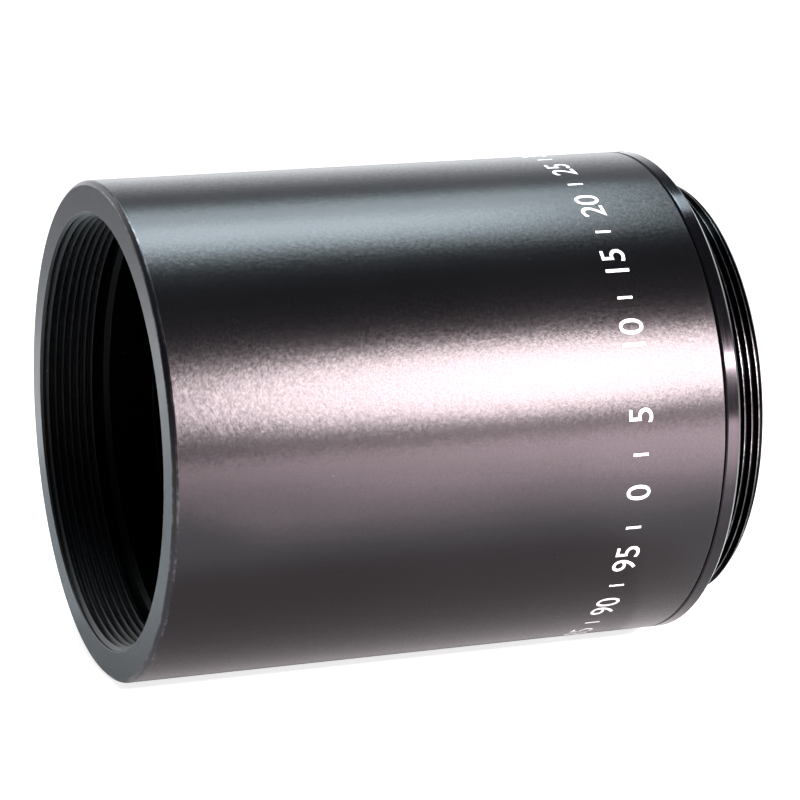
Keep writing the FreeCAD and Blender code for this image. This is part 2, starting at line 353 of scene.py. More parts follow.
@dataclass(frozen=True)
class Finish:
    """An opaque finish: black anodising, paint, ink or bare metal. Its size and depth are in millimetres."""

    name: str
    colour: Colour
    roughness: float
    metallic: float = 0.0
    surface: Surface = Surface.TURNED
    size: float = 0.1
    depth: float = 0.002
    contrast: float = 0.3
    spread: float = 0.08
    tilt: float = 0.05
    worn_colour: Colour = (0.42, 0.41, 0.42)
    worn_roughness: float = 0.3
    wear: float = 0.3
    dust: float = 0.3

    def material(self) -> Skin:
        """Builds the material.

        Returns:
            The new material.
        """
        dressing = Dressing(self.name)
        tilt = {"tilt": self.tilt} if self.surface is Surface.BLASTED else {}
        base = dressing.group(
            self.surface.value, color=self.colour, size=self.size, depth=self.depth, contrast=self.contrast,
            roughness=self.roughness, spread=self.spread, **tilt,
        )
        worn = dressing.over(
            base, "edge_wear", worn_color=self.worn_colour, worn_roughness=self.worn_roughness,
            amount=self.wear,
        )
        dressing.wear_skin(dressing.over(worn, "dust", amount=self.dust))
        dressing.feed(Metallic=self.metallic, Normal=base.outputs["Normal"])
        return dressing.material


@dataclass(frozen=True)
class CoatedGlass:
    """Polished optical glass with a thin coating and a trace of dust."""

    name: str = "coated_glass_polished"
    tint: Colour = (0.97, 0.985, 0.98)
    ior: float = 1.7
    film_thickness: float = 330.0
    film_ior: float = 1.38
    dust: float = 0.25
    grain: float = 0.4
    contrast: float = 0.02
    roughness: float = 0.012
    spread: float = 0.01

    def material(self) -> Skin:
        """Builds the material.

        Returns:
            The new material.
        """
        dressing = Dressing(self.name)
        polish = dressing.group(
            Surface.TURNED.value, color=self.tint, size=self.grain, contrast=self.contrast,
            roughness=self.roughness, spread=self.spread,
        )
        dressing.wear_skin(dressing.over(polish, "dust", amount=self.dust))
        dressing.feed(
            Transmission_Weight=1.0, IOR=self.ior, Thin_Film_Thickness=self.film_thickness,
            Thin_Film_IOR=self.film_ior,
        )
        return dressing.material


@dataclass(frozen=True)
class FloorFinish:
    """Matt white board that glows a little, and more for the camera, so that it is seen pale all over."""

    name: str = "white_board"
    colour: Colour = (0.5, 0.495, 0.495)
    glow: Colour = (0.21, 0.21, 0.21)
    seen_glow: Colour = (0.82, 0.815, 0.815)
    fibres_per_metre: float = 400.0
    tint: tuple[float, float] = (0.03, 0.985)
    roughness: tuple[float, float] = (0.1, 0.85)
    specular: float = 0.2

    def material(self) -> Skin:
        """Builds the material.

        Returns:
            The new material.
        """
        dressing = Dressing(self.name)
        fibre = dressing.noise(dressing.place, self.fibres_per_metre, 1.0)
        seen = dressing.add("ShaderNodeLightPath").outputs["Is Camera Ray"]
        dressing.feed(
            Base_Color=dressing.scaled(self.colour, dressing.math("MULTIPLY_ADD", fibre, *self.tint)),
            Roughness=dressing.math("MULTIPLY_ADD", fibre, *self.roughness), Specular_IOR_Level=self.specular,
            Emission_Color=dressing.mix(seen, self.glow, self.seen_glow), Emission_Strength=1.0,
        )
        return dressing.material


class Finishes:
    """Every material of the tube, made once."""

    def __init__(self) -> None:
        """Builds the materials."""
        self.blasted = Finish(
            "anodised_blasted", (0.048, 0.0455, 0.0478), 0.235, 0.985, Surface.BLASTED, size=0.2, depth=0.003,
            contrast=0.35, spread=0.06, tilt=0.062, wear=0.2, dust=0.05,
        ).material()
        self.face = Finish(
            "anodised_face", (0.048, 0.0448, 0.0495), 0.3, 0.98, size=0.06, depth=0.0015, contrast=0.2,
            wear=0.2,
        ).material()
        self.ring = Finish(
            "anodised_ring", (0.041, 0.038, 0.0415), 0.15, 0.98, size=0.09, depth=0.0006,
            worn_colour=(0.16, 0.16, 0.165), wear=0.12,
        ).material()
        self.mouth_thread = Finish(
            "anodised_mouth_thread", (0.035, 0.0355, 0.0365), 0.38, 0.985, size=0.08, depth=0.0012,
            worn_colour=(0.06, 0.06, 0.062), wear=0.5, dust=0.2,
        ).material()
        # The rear thread's flanks and roots are a near-black copy of the anodising: painted shade between the
        # crests.
        self.mount_thread_painted_shade = Finish(
            "anodised_mount_thread", (0.0055, 0.0055, 0.006), 0.2, 0.97, size=0.08, depth=0.0008,
            wear=0.0, dust=1.0,
        ).material()
        # The rear thread's crests are a paler copy of the same anodising: a painted highlight along each
        # crest line.
        self.crest = Finish(
            "anodised_thread_crest_painted_highlight", (0.08, 0.08, 0.083), 0.24, 0.97, size=0.3, depth=0.001, contrast=0.5,
            worn_colour=(0.3, 0.3, 0.3), worn_roughness=0.24, wear=0.6, dust=1.0,
        ).material()
        # A near-black copy of the anodising for the bore, the relief and the undercut: painted shade inside
        # the tube.
        self.bore = Finish(
            "anodised_bore_painted_shade", (0.0038, 0.004, 0.0042), 0.36, 0.95, size=0.12,
            worn_colour=(0.08, 0.08, 0.083), wear=0.25, dust=0.15,
        ).material()
        self.cell = Finish(
            "anodised_cell", (0.03, 0.03, 0.031), 0.38, 0.9, size=0.09, depth=0.0015,
            worn_colour=(0.12, 0.12, 0.122), wear=0.4,
        ).material()
        self.paint = Finish(
            "matt_black_paint", (0.012, 0.012, 0.0125), 0.62, surface=Surface.BLASTED, size=0.12,
            depth=0.004, dust=0.2,
        ).material()
        self.brass = Finish(
            "turned_brass", (0.62, 0.44, 0.18), 0.3, 1.0, size=0.08, depth=0.0015,
            worn_colour=(0.8, 0.62, 0.3),
        ).material()
        self.ink = Finish(
            "white_ink", (0.86, 0.85, 0.85), 0.45, surface=Surface.BLASTED, size=0.09, contrast=0.08,
            wear=0.0, dust=0.0,
        ).material()
        self.glass = CoatedGlass().material()
        self.floor = FloorFinish().material()


# Turned meshes


@dataclass(frozen=True)
class Corner:
    """A corner of a half section: its place, its easing radius and the skin of the side that follows."""

    x: float
    r: float
    ease: float = 0.0
    skin: int = 0


@dataclass(frozen=True)
class Step:
    """A square step of a bore: its place, the radius behind it, and the easing of its two corners."""

    x: float
    r: float
    near_ease: float = 0.0
    far_ease: float = 0.0


def stepped(radius: float, steps: Sequence[Step], skin: int = 0) -> list[Corner]:
    """Corners of a bore that changes its radius in square steps.

    Args:
        radius: its radius ahead of the first step.
        steps: its steps in order.
        skin: its skin.

    Returns:
        Two corners for each step.
    """
    corners = []
    for step in steps:
        corners += [Corner(step.x, radius, step.near_ease, skin), Corner(step.x, step.r, step.far_ease, skin)]
        radius = step.r
    return corners


@dataclass(frozen=True)
class Thread:
    """A right-handed 60 degree thread between two places of a half section."""

    kind: ThreadKind
    start: float
    end: float
    pitch: float
    crest: float
    depth: float
    lead: float
    chamfer_at: float
    chamfer_radius: float
    skin: int = 0
    crest_skin: int = 0

    FORM: ClassVar[tuple[tuple[float, float], ...]] = (
        (0.0, 0.0), (0.055, 0.0), (0.075, 0.03), (0.10, 0.11), (0.28, 0.55), (0.42, 0.91), (0.46, 0.985),
        (0.5, 1.0), (0.54, 0.985), (0.58, 0.91), (0.72, 0.55), (0.90, 0.11), (0.925, 0.03), (0.945, 0.0),
    )

    def share(self, phase: float) -> float:
        """Depth at a phase of the thread, as a share of the whole depth.

        Args:
            phase: turns along the thread's form, from a crest.

        Returns:
            0 on the crest and 1 in the root.
        """
        form = (*self.FORM, (1.0, 0.0))
        phase %= 1.0
        for (low, first), (high, second) in zip(form, form[1:]):
            if phase <= high:
                return first + (second - first) * (phase - low) / (high - low)
        return 0.0

    def radius(self, x: float, share: float) -> float:
        """Radius at a place, for a share of the thread's depth, cut by the chamfer at its open end."""
        sides = self.crest - self.kind.value * self.depth * share, self.chamfer_radius - (x - self.chamfer_at)
        return max(sides) if self.kind is ThreadKind.HOLE else min(sides)

    def cut(self, x: float, turn: float) -> float:
        """Radius of the thread's surface at a place along the axis and a turn round it."""
        return self.radius(x, self.share((x - self.start) / self.pitch - self.lead - turn))

    def ends(self) -> tuple[Corner, Corner]:
        """Its first and last place, as corners that its neighbours are eased against."""
        return tuple(Corner(x, self.radius(x, 0.5)) for x in (self.start, self.end))


class Lathe:
    """A mesh turned about the optical axis from a half section."""

    EASE_STEPS = 4
    EASE_REACH = 0.42
    GUARD, GUARD_REACH = 0.03, 0.05
    SLIVER = 1e-4
    SPARE_TURNS = 2
    WEAR_FADE = 5.0

    def __init__(self, columns: int = 256) -> None:
        """Starts an empty mesh.

        Args:
            columns: how many flats go round the axis.
        """
        self.columns = columns
        self.mesh = bmesh.new()
        self.worn = self.mesh.verts.layers.float.new(WEAR)

    def vert(self, x: float, r: float, column: int, wear: float = 0.0) -> Vert:
        """Adds one vertex.

        Args:
            x: its place along the axis, in millimetres.
            r: its distance from the axis.
            column: its place round the axis.
            wear: how far it is rubbed, from 0 to 1.

        Returns:
            The vertex.
        """
        turn = 2 * math.pi * column / self.columns
        made = self.mesh.verts.new((x * MM, r * math.cos(turn) * MM, r * math.sin(turn) * MM))
        made[self.worn] = wear
        return made

    def ring(self, x: float, r: float, wear: float = 0.0) -> Ring:
        """A ring of vertices, or one vertex many times over on the axis."""
        if r < TINY:
            return [self.vert(x, 0.0, 0, wear)] * self.columns
        return [self.vert(x, r, column, wear) for column in range(self.columns)]

    def face(self, corners: Sequence[Vert], skin: int) -> None:
        """Adds one face, without the corners that coincide.

        Args:
            corners: its corners in order.
            skin: its skin.
        """
        kept = [v for i, v in enumerate(corners) if v is not corners[i - 1]]
        if len(kept) > 2:
            self.mesh.faces.new(kept).material_index = skin

    def bridge(self, first: Ring, second: Ring, skin: int) -> None:
        """Adds the faces between two closed rings."""
        for c in range(self.columns):
            self.face((first[c], first[c - self.columns + 1], second[c - self.columns + 1], second[c]), skin)

    @classmethod
    def eased(cls, before: Corner, corner: Corner, after: Corner) -> list[tuple[float, float, float]]:
        """Points that round off one corner.

        Args:
            before: the corner ahead of it.
            corner: the corner itself.
            after: the corner that follows.

        Returns:
            Places, radii and wear, with a guard point on each side that keeps the flats flat.
        """
        here = Vector((corner.x, corner.r))
        back, ahead = Vector((before.x, before.r)) - here, Vector((after.x, after.r)) - here
        room = min(back.length, ahead.length)
        if corner.ease <= 0.0 or room < TINY:
            return [(corner.x, corner.r, 0.0)]
        reach = min(corner.ease / math.tan(back.angle(ahead) / 2), cls.EASE_REACH * room)
        guard = min(cls.GUARD, cls.GUARD_REACH * room)
        start, end = here + back.normalized() * reach, here + ahead.normalized() * reach
        points = [(*(start + back.normalized() * guard), 0.0)]
        for step in range(cls.EASE_STEPS + 1):
            t = step / cls.EASE_STEPS
            points.append((*((1 - t) ** 2 * start + 2 * t * (1 - t) * here + t**2 * end), 1.0))
        return [*points, (*(end + ahead.normalized() * guard), 0.0)]

    def rim(self, thread: Thread, x: float) -> Ring:
        """The ring where a thread is cut off square, which goes up and down with the thread's form."""
        return [self.vert(x, thread.cut(x, c / self.columns), c) for c in range(self.columns)]

    def threaded(self, thread: Thread) -> tuple[Ring, Ring]:
        """Adds a thread whose rows follow its helix.

        Args:
            thread: the thread.

        Returns:
            Its first and its last ring.
        """
        first, last = self.rim(thread, thread.start), self.rim(thread, thread.end)
        rows: list[Ring] = []
        turns = math.ceil((thread.end - thread.start) / thread.pitch)
        for turn in range(-self.SPARE_TURNS, turns + self.SPARE_TURNS):
            for phase, share in thread.FORM:
                row = []
                for c in range(self.columns):
                    x = thread.start + (turn + thread.lead + phase + c / self.columns) * thread.pitch
                    if x < thread.start + self.SLIVER:
                        row.append(first[c])
                    elif x > thread.end - self.SLIVER:
                        row.append(last[c])
                    else:
                        wear = max(0.0, 1.0 - self.WEAR_FADE * share)
                        row.append(self.vert(x, thread.radius(x, share), c, wear))
                rows.append(row)
        steps = len(thread.FORM)
        for k in range(len(rows) - 1):
            skin = thread.crest_skin if k % steps in (0, steps - 1) else thread.skin
            for c in range(self.columns - 1):
                self.face((rows[k][c], rows[k][c + 1], rows[k + 1][c + 1], rows[k + 1][c]), skin)
            near, far = (rows[i][0] if i < len(rows) else last[0] for i in (k + steps, k + 1 + steps))
            self.face((rows[k][-1], near, far, rows[k + 1][-1]), skin)
        return first, last

    def section(self, outline: Sequence[Corner | Thread], closed: bool = True) -> None:
        """Turns a half section about the axis.

        Args:
            outline: its corners and threads in order.
            closed: whether its last corner joins its first.
        """
        sides: list[tuple[Ring, Ring, int]] = []
        for i, item in enumerate(outline):
            if isinstance(item, Thread):
                sides.append((*self.threaded(item), item.skin))
                continue
            before, after = outline[i - 1], outline[(i + 1) % len(outline)]
            before = before.ends()[1] if isinstance(before, Thread) else before
            after = after.ends()[0] if isinstance(after, Thread) else after
            for x, r, wear in self.eased(before, item, after):
                ring = self.ring(x, r, wear)
                sides.append((ring, ring, item.skin))
        for (_, last, skin), (first, _, _) in zip(sides, sides[1:] + (sides[:1] if closed else [])):
            self.bridge(last, first, skin)

    def finished(self, name: str, skins: Sequence[Skin], sharp: float = SHARP) -> Piece:
        """Makes the object, with its materials in the order that the corners name them."""
        bmesh.ops.recalc_face_normals(self.mesh, faces=self.mesh.faces)
        return placed(name, self.mesh, skins, sharp)


def placed(name: str, shape: Shape, skins: Sequence[Skin] = (), sharp: float = SHARP) -> Piece:
    """Puts a mesh in the scene, smooth but for its sharp edges.

    Args:
        name: name of the piece.
        shape: its mesh, which is freed.
        skins: its materials.
        sharp: edges that turn by more than these degrees stay sharp.

    Returns:
        The new object.
    """
    data = bpy.data.meshes.new(name)
    shape.to_mesh(data)
    shape.free()
    for skin in skins:
        data.materials.append(skin)
    data.polygons.foreach_set("use_smooth", [True] * len(data.polygons))
    data.set_sharp_from_angle(angle=math.radians(sharp))
    made = bpy.data.objects.new(name, data)
    bpy.context.scene.collection.objects.link(made)
    return made


def evaluated(piece: Piece) -> bpy.types.Mesh:
    """A new mesh of an object, with its modifiers or letters worked out."""
    bpy.context.view_layer.update()
    return bpy.data.meshes.new_from_object(piece.evaluated_get(bpy.context.evaluated_depsgraph_get()))


def block(low: Sequence[float], high: Sequence[float], unit: float = 1.0) -> Shape:
    """A box.

    Args:
        low: its lowest corner.
        high: its highest corner.
        unit: length of the unit that both are given in.

    Returns:
        Its mesh.
    """
    shape = bmesh.new()
    bmesh.ops.create_cube(shape, size=1.0)
    for v in shape.verts:
        v.co = Vector([(a + (b - a) * (c + 0.5)) * unit for a, b, c in zip(low, high, v.co)])
    return shape


def notched(piece: Piece, low: Sequence[float], high: Sequence[float]) -> None:
    """Cuts a straight slot across a ring, which leaves a spanner notch on each side.

    Args:
        piece: the ring.
        low: lowest corner of the slot in millimetres.
        high: its highest corner.
    """
    cutter = placed("slot_cutter", block(low, high, MM))
    modifier = piece.modifiers.new("slot", "BOOLEAN")
    modifier.operation, modifier.object, modifier.solver = "DIFFERENCE", cutter, "EXACT"
    data = evaluated(piece)
    piece.modifiers.clear()
    piece.data = data
    bpy.data.objects.remove(cutter)
    data.set_sharp_from_angle(angle=math.radians(SHARP))


def report(piece: Piece, nodes: Sequence[str] = ()) -> None:
    """Ties a piece to the frame and logs it.

    Args:
        piece: the new piece.
        nodes: the CAD nodes that it stands for.
    """
    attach(piece, BODY)
    if nodes:
        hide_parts(*nodes)
    faces = len(piece.data.polygons)
    log.info("%s: %d faces, stands for %s", piece.name, faces, ", ".join(nodes) or "no node")


# Sub-assemblies


@dataclass
class Mount:
    """Sizes of the screw mount that both ends share."""

    radius: float = 21.0
    pitch: float = 0.75
    hole_depth: float = 0.40595
    shaft_depth: float = 0.46007


@dataclass
class Barrel:
    """Main tube, bead-blasted outside and threaded in its mouth."""

    finishes: Finishes
    mount: Mount
    front: float = -56.258
    seam: float = -1.59
    radius: float = 23.99
    front_edge: float = 0.4
    seam_edge: float = 0.18
    mouth_edge: float = 0.45
    crest_lead: float = 0.03
    thread_inset: float = 0.03
    thread_end: float = -50.658
    relief_end: float = -49.758
    relief_radius: float = 21.3
    relief_step: float = 0.5
    bore_radius: float = 20.194
    lock: Step = Step(-44.658, 19.844, 0.05)
    cell: Step = Step(-41.058, 19.694)
    shoulder: Step = Step(-16.5, 17.594, 0.0, 0.06)
    chamber: Step = Step(-15.1, 20.06, 0.06)
    spigot_relief: Step = Step(-8.15, 21.71)
    spigot: Step = Step(-7.15, 21.26)

    def build(self) -> Piece:
        """Builds the tube from its mouth inwards and back along its outside.

        Returns:
            The tube.
        """
        outside, face, thread, bore = range(4)
        crest = self.mount.radius - self.mount.hole_depth
        mouth = crest + self.mouth_edge
        steps = (self.lock, self.cell, self.shoulder, self.chamber, self.spigot_relief, self.spigot)
        lathe = Lathe()
        lathe.section([
            Thread(
                ThreadKind.HOLE, self.front + self.thread_inset, self.thread_end, self.mount.pitch, crest,
                self.mount.hole_depth, self.crest_lead, self.front, mouth, thread, thread,
            ),
            # The relief, the bore and its steps take the near-black bore skin: painted shade inside the tube.
            Corner(self.thread_end, self.relief_radius, 0.0, bore),
            Corner(self.relief_end, self.relief_radius, 0.0, bore),
            Corner(self.relief_end, self.bore_radius + self.relief_step, 0.06, bore),
            Corner(self.relief_end + self.relief_step, self.bore_radius, 0.06, bore),
            *stepped(self.bore_radius, steps, bore),
            Corner(self.seam, self.spigot.r, 0.0, face),
            Corner(self.seam, self.radius - self.seam_edge, 0.03, face),
            Corner(self.seam - self.seam_edge, self.radius, 0.05, outside),
            Corner(self.front + self.front_edge, self.radius, 0.3, face),
            Corner(self.front, self.radius - self.front_edge, 0.3, face),
            Corner(self.front, mouth, 0.02, face),
        ])
        skins = (self.finishes.blasted, self.finishes.face, self.finishes.mouth_thread, self.finishes.bore)
        tube = lathe.finished("barrel_shell", skins)
        report(tube, ["barrel"])
        return tube


@dataclass
class MountRing:
    """Smooth flange with the male thread behind it and a spigot ahead of it."""

    finishes: Finishes
    mount: Mount
    seam: float = -1.53
    radius: float = 24.0
    seam_edge: float = 0.12
    flange_edge: float = 0.3
    relief_depth: float = 0.2
    relief_radius: float = 21.3
    undercut_radius: float = 20.4
    thread_start: float = 0.8
    thread_end: float = 4.0
    end_edge: float = 0.5
    bore_edge: float = 0.3
    bore_radius: float = 19.2
    crest_lead: float = 0.9
    spigot_start: float = -7.35
    spigot_radius: float = 21.23

    def build(self) -> None:
        """Builds the ring from its spigot along its outside, and back through its bore."""
        flange, thread, bore, crest = range(4)
        lathe = Lathe()
        lathe.section([
            Corner(self.spigot_start, self.spigot_radius, 0.05, bore),
            Corner(self.seam, self.spigot_radius, 0.0, bore),
            Corner(self.seam, self.radius - self.seam_edge, 0.03, flange),
            Corner(self.seam + self.seam_edge, self.radius, 0.05, flange),
            Corner(-self.flange_edge, self.radius, 0.03, flange),
            Corner(0.0, self.radius - self.flange_edge, 0.05, flange),
            Corner(0.0, self.relief_radius, 0.04, thread),
            Corner(-self.relief_depth, self.relief_radius, 0.0, thread),
            # The undercut behind the flange takes the bore skin: painted shade where the flange would shade
            # it.
            Corner(-self.relief_depth, self.undercut_radius, 0.0, bore),
            Corner(self.thread_start, self.undercut_radius, 0.0, thread),
            Thread(
                ThreadKind.SHAFT, self.thread_start, self.thread_end, self.mount.pitch, self.mount.radius,
                self.mount.shaft_depth, self.crest_lead, self.thread_end - self.end_edge, self.mount.radius,
                thread, crest,
            ),
            Corner(self.thread_end, self.bore_radius + self.bore_edge, 0.06, thread),
            Corner(self.thread_end - self.bore_edge, self.bore_radius, 0.06, bore),
            Corner(self.spigot_start, self.bore_radius, 0.06, bore),
        ])
        # The thread skin is painted shade on flanks and roots, the crest skin a painted highlight, the bore
        # skin painted shade.
        skins = (self.finishes.ring, self.finishes.mount_thread_painted_shade, self.finishes.bore, self.finishes.crest)
        report(lathe.finished("mount_ring_shell", skins), ["rear_mount_ring"])


@dataclass
class SlottedRing:
    """A screwed ring with two spanner notches in one face."""

    finishes: Finishes
    name: str
    node: str
    start: float
    end: float
    outer_radius: float
    start_radius: float
    end_radius: float
    slot_from: float
    slot_to: float
    slot_width: float
    edge: float = 0.12

    def build(self) -> None:
        """Turns the ring and cuts its notches."""
        lathe = Lathe(192)
        lathe.section([
            Corner(self.start, self.start_radius, self.edge),
            Corner(self.start, self.outer_radius, self.edge),
            Corner(self.end, self.outer_radius, self.edge),
            Corner(self.end, self.end_radius, self.edge),
        ])
        piece = lathe.finished(self.name, (self.finishes.cell,))
        half, reach = self.slot_width / 2, self.outer_radius + 1.0
        notched(piece, (self.slot_from, -half, -reach), (self.slot_to, half, reach))
        report(piece, [self.node])


@dataclass
class Cell:
    """Sleeve that carries the glass, with its two retaining rings and the ring that locks it."""

    finishes: Finishes
    front: float = -41.458
    back: float = -16.9
    radius: float = 19.664
    edge: float = 0.3
    land: float = 4.0
    waist_step: float = 1.0
    front_thread_radius: float = 14.264
    front_pocket: Step = Step(-38.758, 13.464, 0.0, 0.05)
    web: Step = Step(-29.072, 12.684, 0.0, 0.06)
    rear_pocket: Step = Step(-27.672, 15.514, 0.06)
    rear_thread: Step = Step(-19.0, 16.014, 0.05)

    def sleeve(self) -> None:
        """Builds the sleeve from its front pocket back along its outside."""
        waist = self.radius - self.waist_step
        waist_start, waist_end = self.front + self.land, self.back - self.land
        steps = (self.front_pocket, self.web, self.rear_pocket, self.rear_thread)
        lathe = Lathe(192)
        lathe.section([
            Corner(self.front, self.front_thread_radius, 0.1),
            *stepped(self.front_thread_radius, steps),
            Corner(self.back, self.rear_thread.r, 0.1),
            Corner(self.back, self.radius - self.edge, 0.08),
            Corner(self.back - self.edge, self.radius, 0.08),
            Corner(waist_end, self.radius, 0.08),
            Corner(waist_end - self.waist_step, waist),
            Corner(waist_start + self.waist_step, waist),
            Corner(waist_start, self.radius, 0.08),
            Corner(self.front + self.edge, self.radius, 0.08),
            Corner(self.front, self.radius - self.edge, 0.08),
        ])
        report(lathe.finished("cell_sleeve", (self.finishes.cell,)), ["optical_cell"])

    def build(self) -> None:
        """Builds the sleeve and the three rings."""
        self.sleeve()
        for ring in (
            SlottedRing(
                self.finishes, "lock_ring_shell", "cell_lock_ring", -44.058, self.front, 19.814, 16.614,
                16.614, slot_from=-44.2, slot_to=-42.858, slot_width=1.6, edge=0.25,
            ),
            SlottedRing(
                self.finishes, "front_ring_shell", "front_retaining_ring", -40.958, -39.158, 14.234, 13.484,
                12.684, slot_from=-41.1, slot_to=-40.158, slot_width=1.2, edge=0.08,
            ),
            SlottedRing(
                self.finishes, "rear_ring_shell", "rear_retaining_ring", -18.6, -17.2, 15.984, 14.784,
                14.784, slot_from=-18.0, slot_to=-17.1, slot_width=1.2,
            ),
        ):
            ring.build()


@dataclass
class LensSurface:
    """A polished sphere: its middle, its radius of curvature, which way it bulges, and its rim's radius."""

    vertex: float
    curve: float
    bulge: int
    rim: float

    STEPS: ClassVar[int] = 28

    def at(self, height: float, skin: int = 0) -> Corner:
        """The corner at a height above the axis."""
        depth = self.curve - math.sqrt(self.curve**2 - height**2)
        return Corner(self.vertex + self.bulge * depth, height, 0.0, skin)

    def corners(self) -> list[Corner]:
        """Corners from the middle outwards, without the one on the rim."""
        return [self.at(self.rim * i / self.STEPS) for i in range(self.STEPS)]


@dataclass
class Lens:
    """A lens between two polished surfaces, with its ground edge painted black."""

    finishes: Finishes
    name: str
    node: str
    front: LensSurface
    back: LensSurface
    edge_radius: float
    edge_ease: float = 0.05
    sharp: float = 15.0

    def build(self) -> None:
        """Turns the lens from its front vertex to its rear one."""
        glass, paint = range(2)
        rims = [self.front.at(self.front.rim, paint), self.back.at(self.back.rim, glass)]
        edges = [Corner(rim.x, self.edge_radius, self.edge_ease, paint) for rim in rims]
        rims[1:1] = [edge for edge, rim in zip(edges, rims) if rim.r < self.edge_radius]
        lathe = Lathe(128)
        lathe.section([*self.front.corners(), *rims, *self.back.corners()[::-1]], closed=False)
        piece = lathe.finished(self.name, (self.finishes.glass, self.finishes.paint), self.sharp)
        report(piece, [self.node])


@dataclass
class Glass:
    """The four lenses: a cemented pair in front and two single ones behind."""

    finishes: Finishes
    front_edge_radius: float = 13.434
    front_seat_radius: float = 12.684
    rear_edge_radius: float = 15.484
    cement: float = -35.534
    cement_gap: float = 0.008

    def build(self) -> None:
        """Builds each lens in order from the front."""
        seat, edge, rear = self.front_seat_radius, self.front_edge_radius, self.rear_edge_radius
        for name, node, front, back, radius in (
            ("front_glass", "front_lens", (-37.334, 45.0, -1, seat), (self.cement, 24.0, 1, edge), edge),
            ("second_glass", "second_lens", (self.cement + self.cement_gap, 24.0, 1, edge),
             (-31.526, 34.0, 1, seat), edge),
            ("third_glass", "third_lens", (-25.296, 118.7, 1, rear), (-21.698, 74.2, -1, rear), rear),
            ("rear_glass", "rear_lens", (-21.298, 96.5, 1, rear), (-18.109, 222.6, -1, rear), rear),
        ):
            Lens(self.finishes, name, node, LensSurface(*front), LensSurface(*back), radius).build()


@dataclass
class CarriedNodes:
    """CAD nodes whose shapes stay and which only get a finish."""

    finishes: Finishes

    def dress(self) -> None:
        """Gives each node its material."""
        for names, skin in (
            (("light_baffle", "group_spacer", "lens_spacer"), self.finishes.cell),
            (("aperture_stop",), self.finishes.paint),
            (("cell_shim",), self.finishes.brass),
        ):
            for name in names:
                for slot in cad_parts[name].material_slots:
                    slot.material = skin
                log.info("%s: %s", name, skin.name)


@dataclass
class ScalePrint:
    """Plain numbers printed round the tube, with a tick between each two."""

    finishes: Finishes
    baseline: float = -9.25
    height: float = 2.45
    radius: float = 23.984
    top_radius: float = 23.999
    first_angle: float = -11.0
    step_angle: float = 18.0
    count: int = 20
    value_step: int = 5
    tick_width: float = 0.26
    tick_low: float = 0.45
    tick_high: float = 2.0
    facet: float = 0.4
    smoothness: int = 6

    def letters(self, text: str) -> Shape:
        """Flat solid letters as the built-in font draws them.

        Args:
            text: the digits.

        Returns:
            A mesh centred along X, one unit thick.
        """
        curve = bpy.data.curves.new("digits", "FONT")
        curve.body, curve.align_x, curve.extrude, curve.resolution_u = text, "CENTER", 0.5, self.smoothness
        drawn = bpy.data.objects.new("digits", curve)
        bpy.context.scene.collection.objects.link(drawn)
        data = evaluated(drawn)
        shape = bmesh.new()
        shape.from_mesh(data)
        bpy.data.objects.remove(drawn)
        bpy.data.curves.remove(curve)
        bpy.data.meshes.remove(data)
        return shape

    def tick(self) -> Shape:
        """A flat solid bar, one unit thick."""
        half = self.tick_width / 2
        return block((-half, self.tick_low, -0.5), (half, self.tick_high, 0.5))

    def wrapped(self, shape: Shape, angle: float) -> None:
        """Splits a flat shape into narrow strips and bends it round the tube.

        Args:
            shape: the flat shape in millimetres, one unit thick.
            angle: its middle above the near horizontal, in degrees.
        """
        reach = max(abs(v.co.x) for v in shape.verts)
        for i in range(-int(reach / self.facet), int(reach / self.facet) + 1):
            everything = [*shape.verts, *shape.edges, *shape.faces]
            place = (i * self.facet, 0, 0)
            bmesh.ops.bisect_plane(shape, geom=everything, plane_co=place, plane_no=(1, 0, 0))
        for v in shape.verts:
            turn = math.radians(angle) + v.co.x / self.radius
            r = self.radius + (self.top_radius - self.radius) * (v.co.z + 0.5)
            v.co = Vector((self.baseline - v.co.y, -r * math.cos(turn), r * math.sin(turn))) * MM

    def build(self) -> None:
        """Prints the numbers and the ticks as one piece."""
        zero = self.letters("0")
        low, high = min(v.co.y for v in zero.verts), max(v.co.y for v in zero.verts)
        zero.free()
        scale = self.height / (high - low)
        everything = bmesh.new()
        for i in range(self.count):
            angle = self.first_angle + i * self.step_angle
            number = self.letters(str(i * self.value_step))
            for v in number.verts:
                v.co.x, v.co.y = v.co.x * scale, (v.co.y - low) * scale
            for shape, place in ((number, angle), (self.tick(), angle + self.step_angle / 2)):
                self.wrapped(shape, place)
                data = bpy.data.meshes.new("print")
                shape.to_mesh(data)
                shape.free()
                everything.from_mesh(data)
                bpy.data.meshes.remove(data)
        report(placed("scale_print", everything, (self.finishes.ink,)))


# Studio


class Outline(Enum):
    """Outline of a lamp."""

    SQUARE = "RECTANGLE"
    OVAL = "ELLIPSE"


class Reach(Enum):
    """What a lamp lights: everything, the blasted tube alone, or all but the tube."""

    ALL = None
    TUBE = "INCLUDE"
    OTHERS = "EXCLUDE"


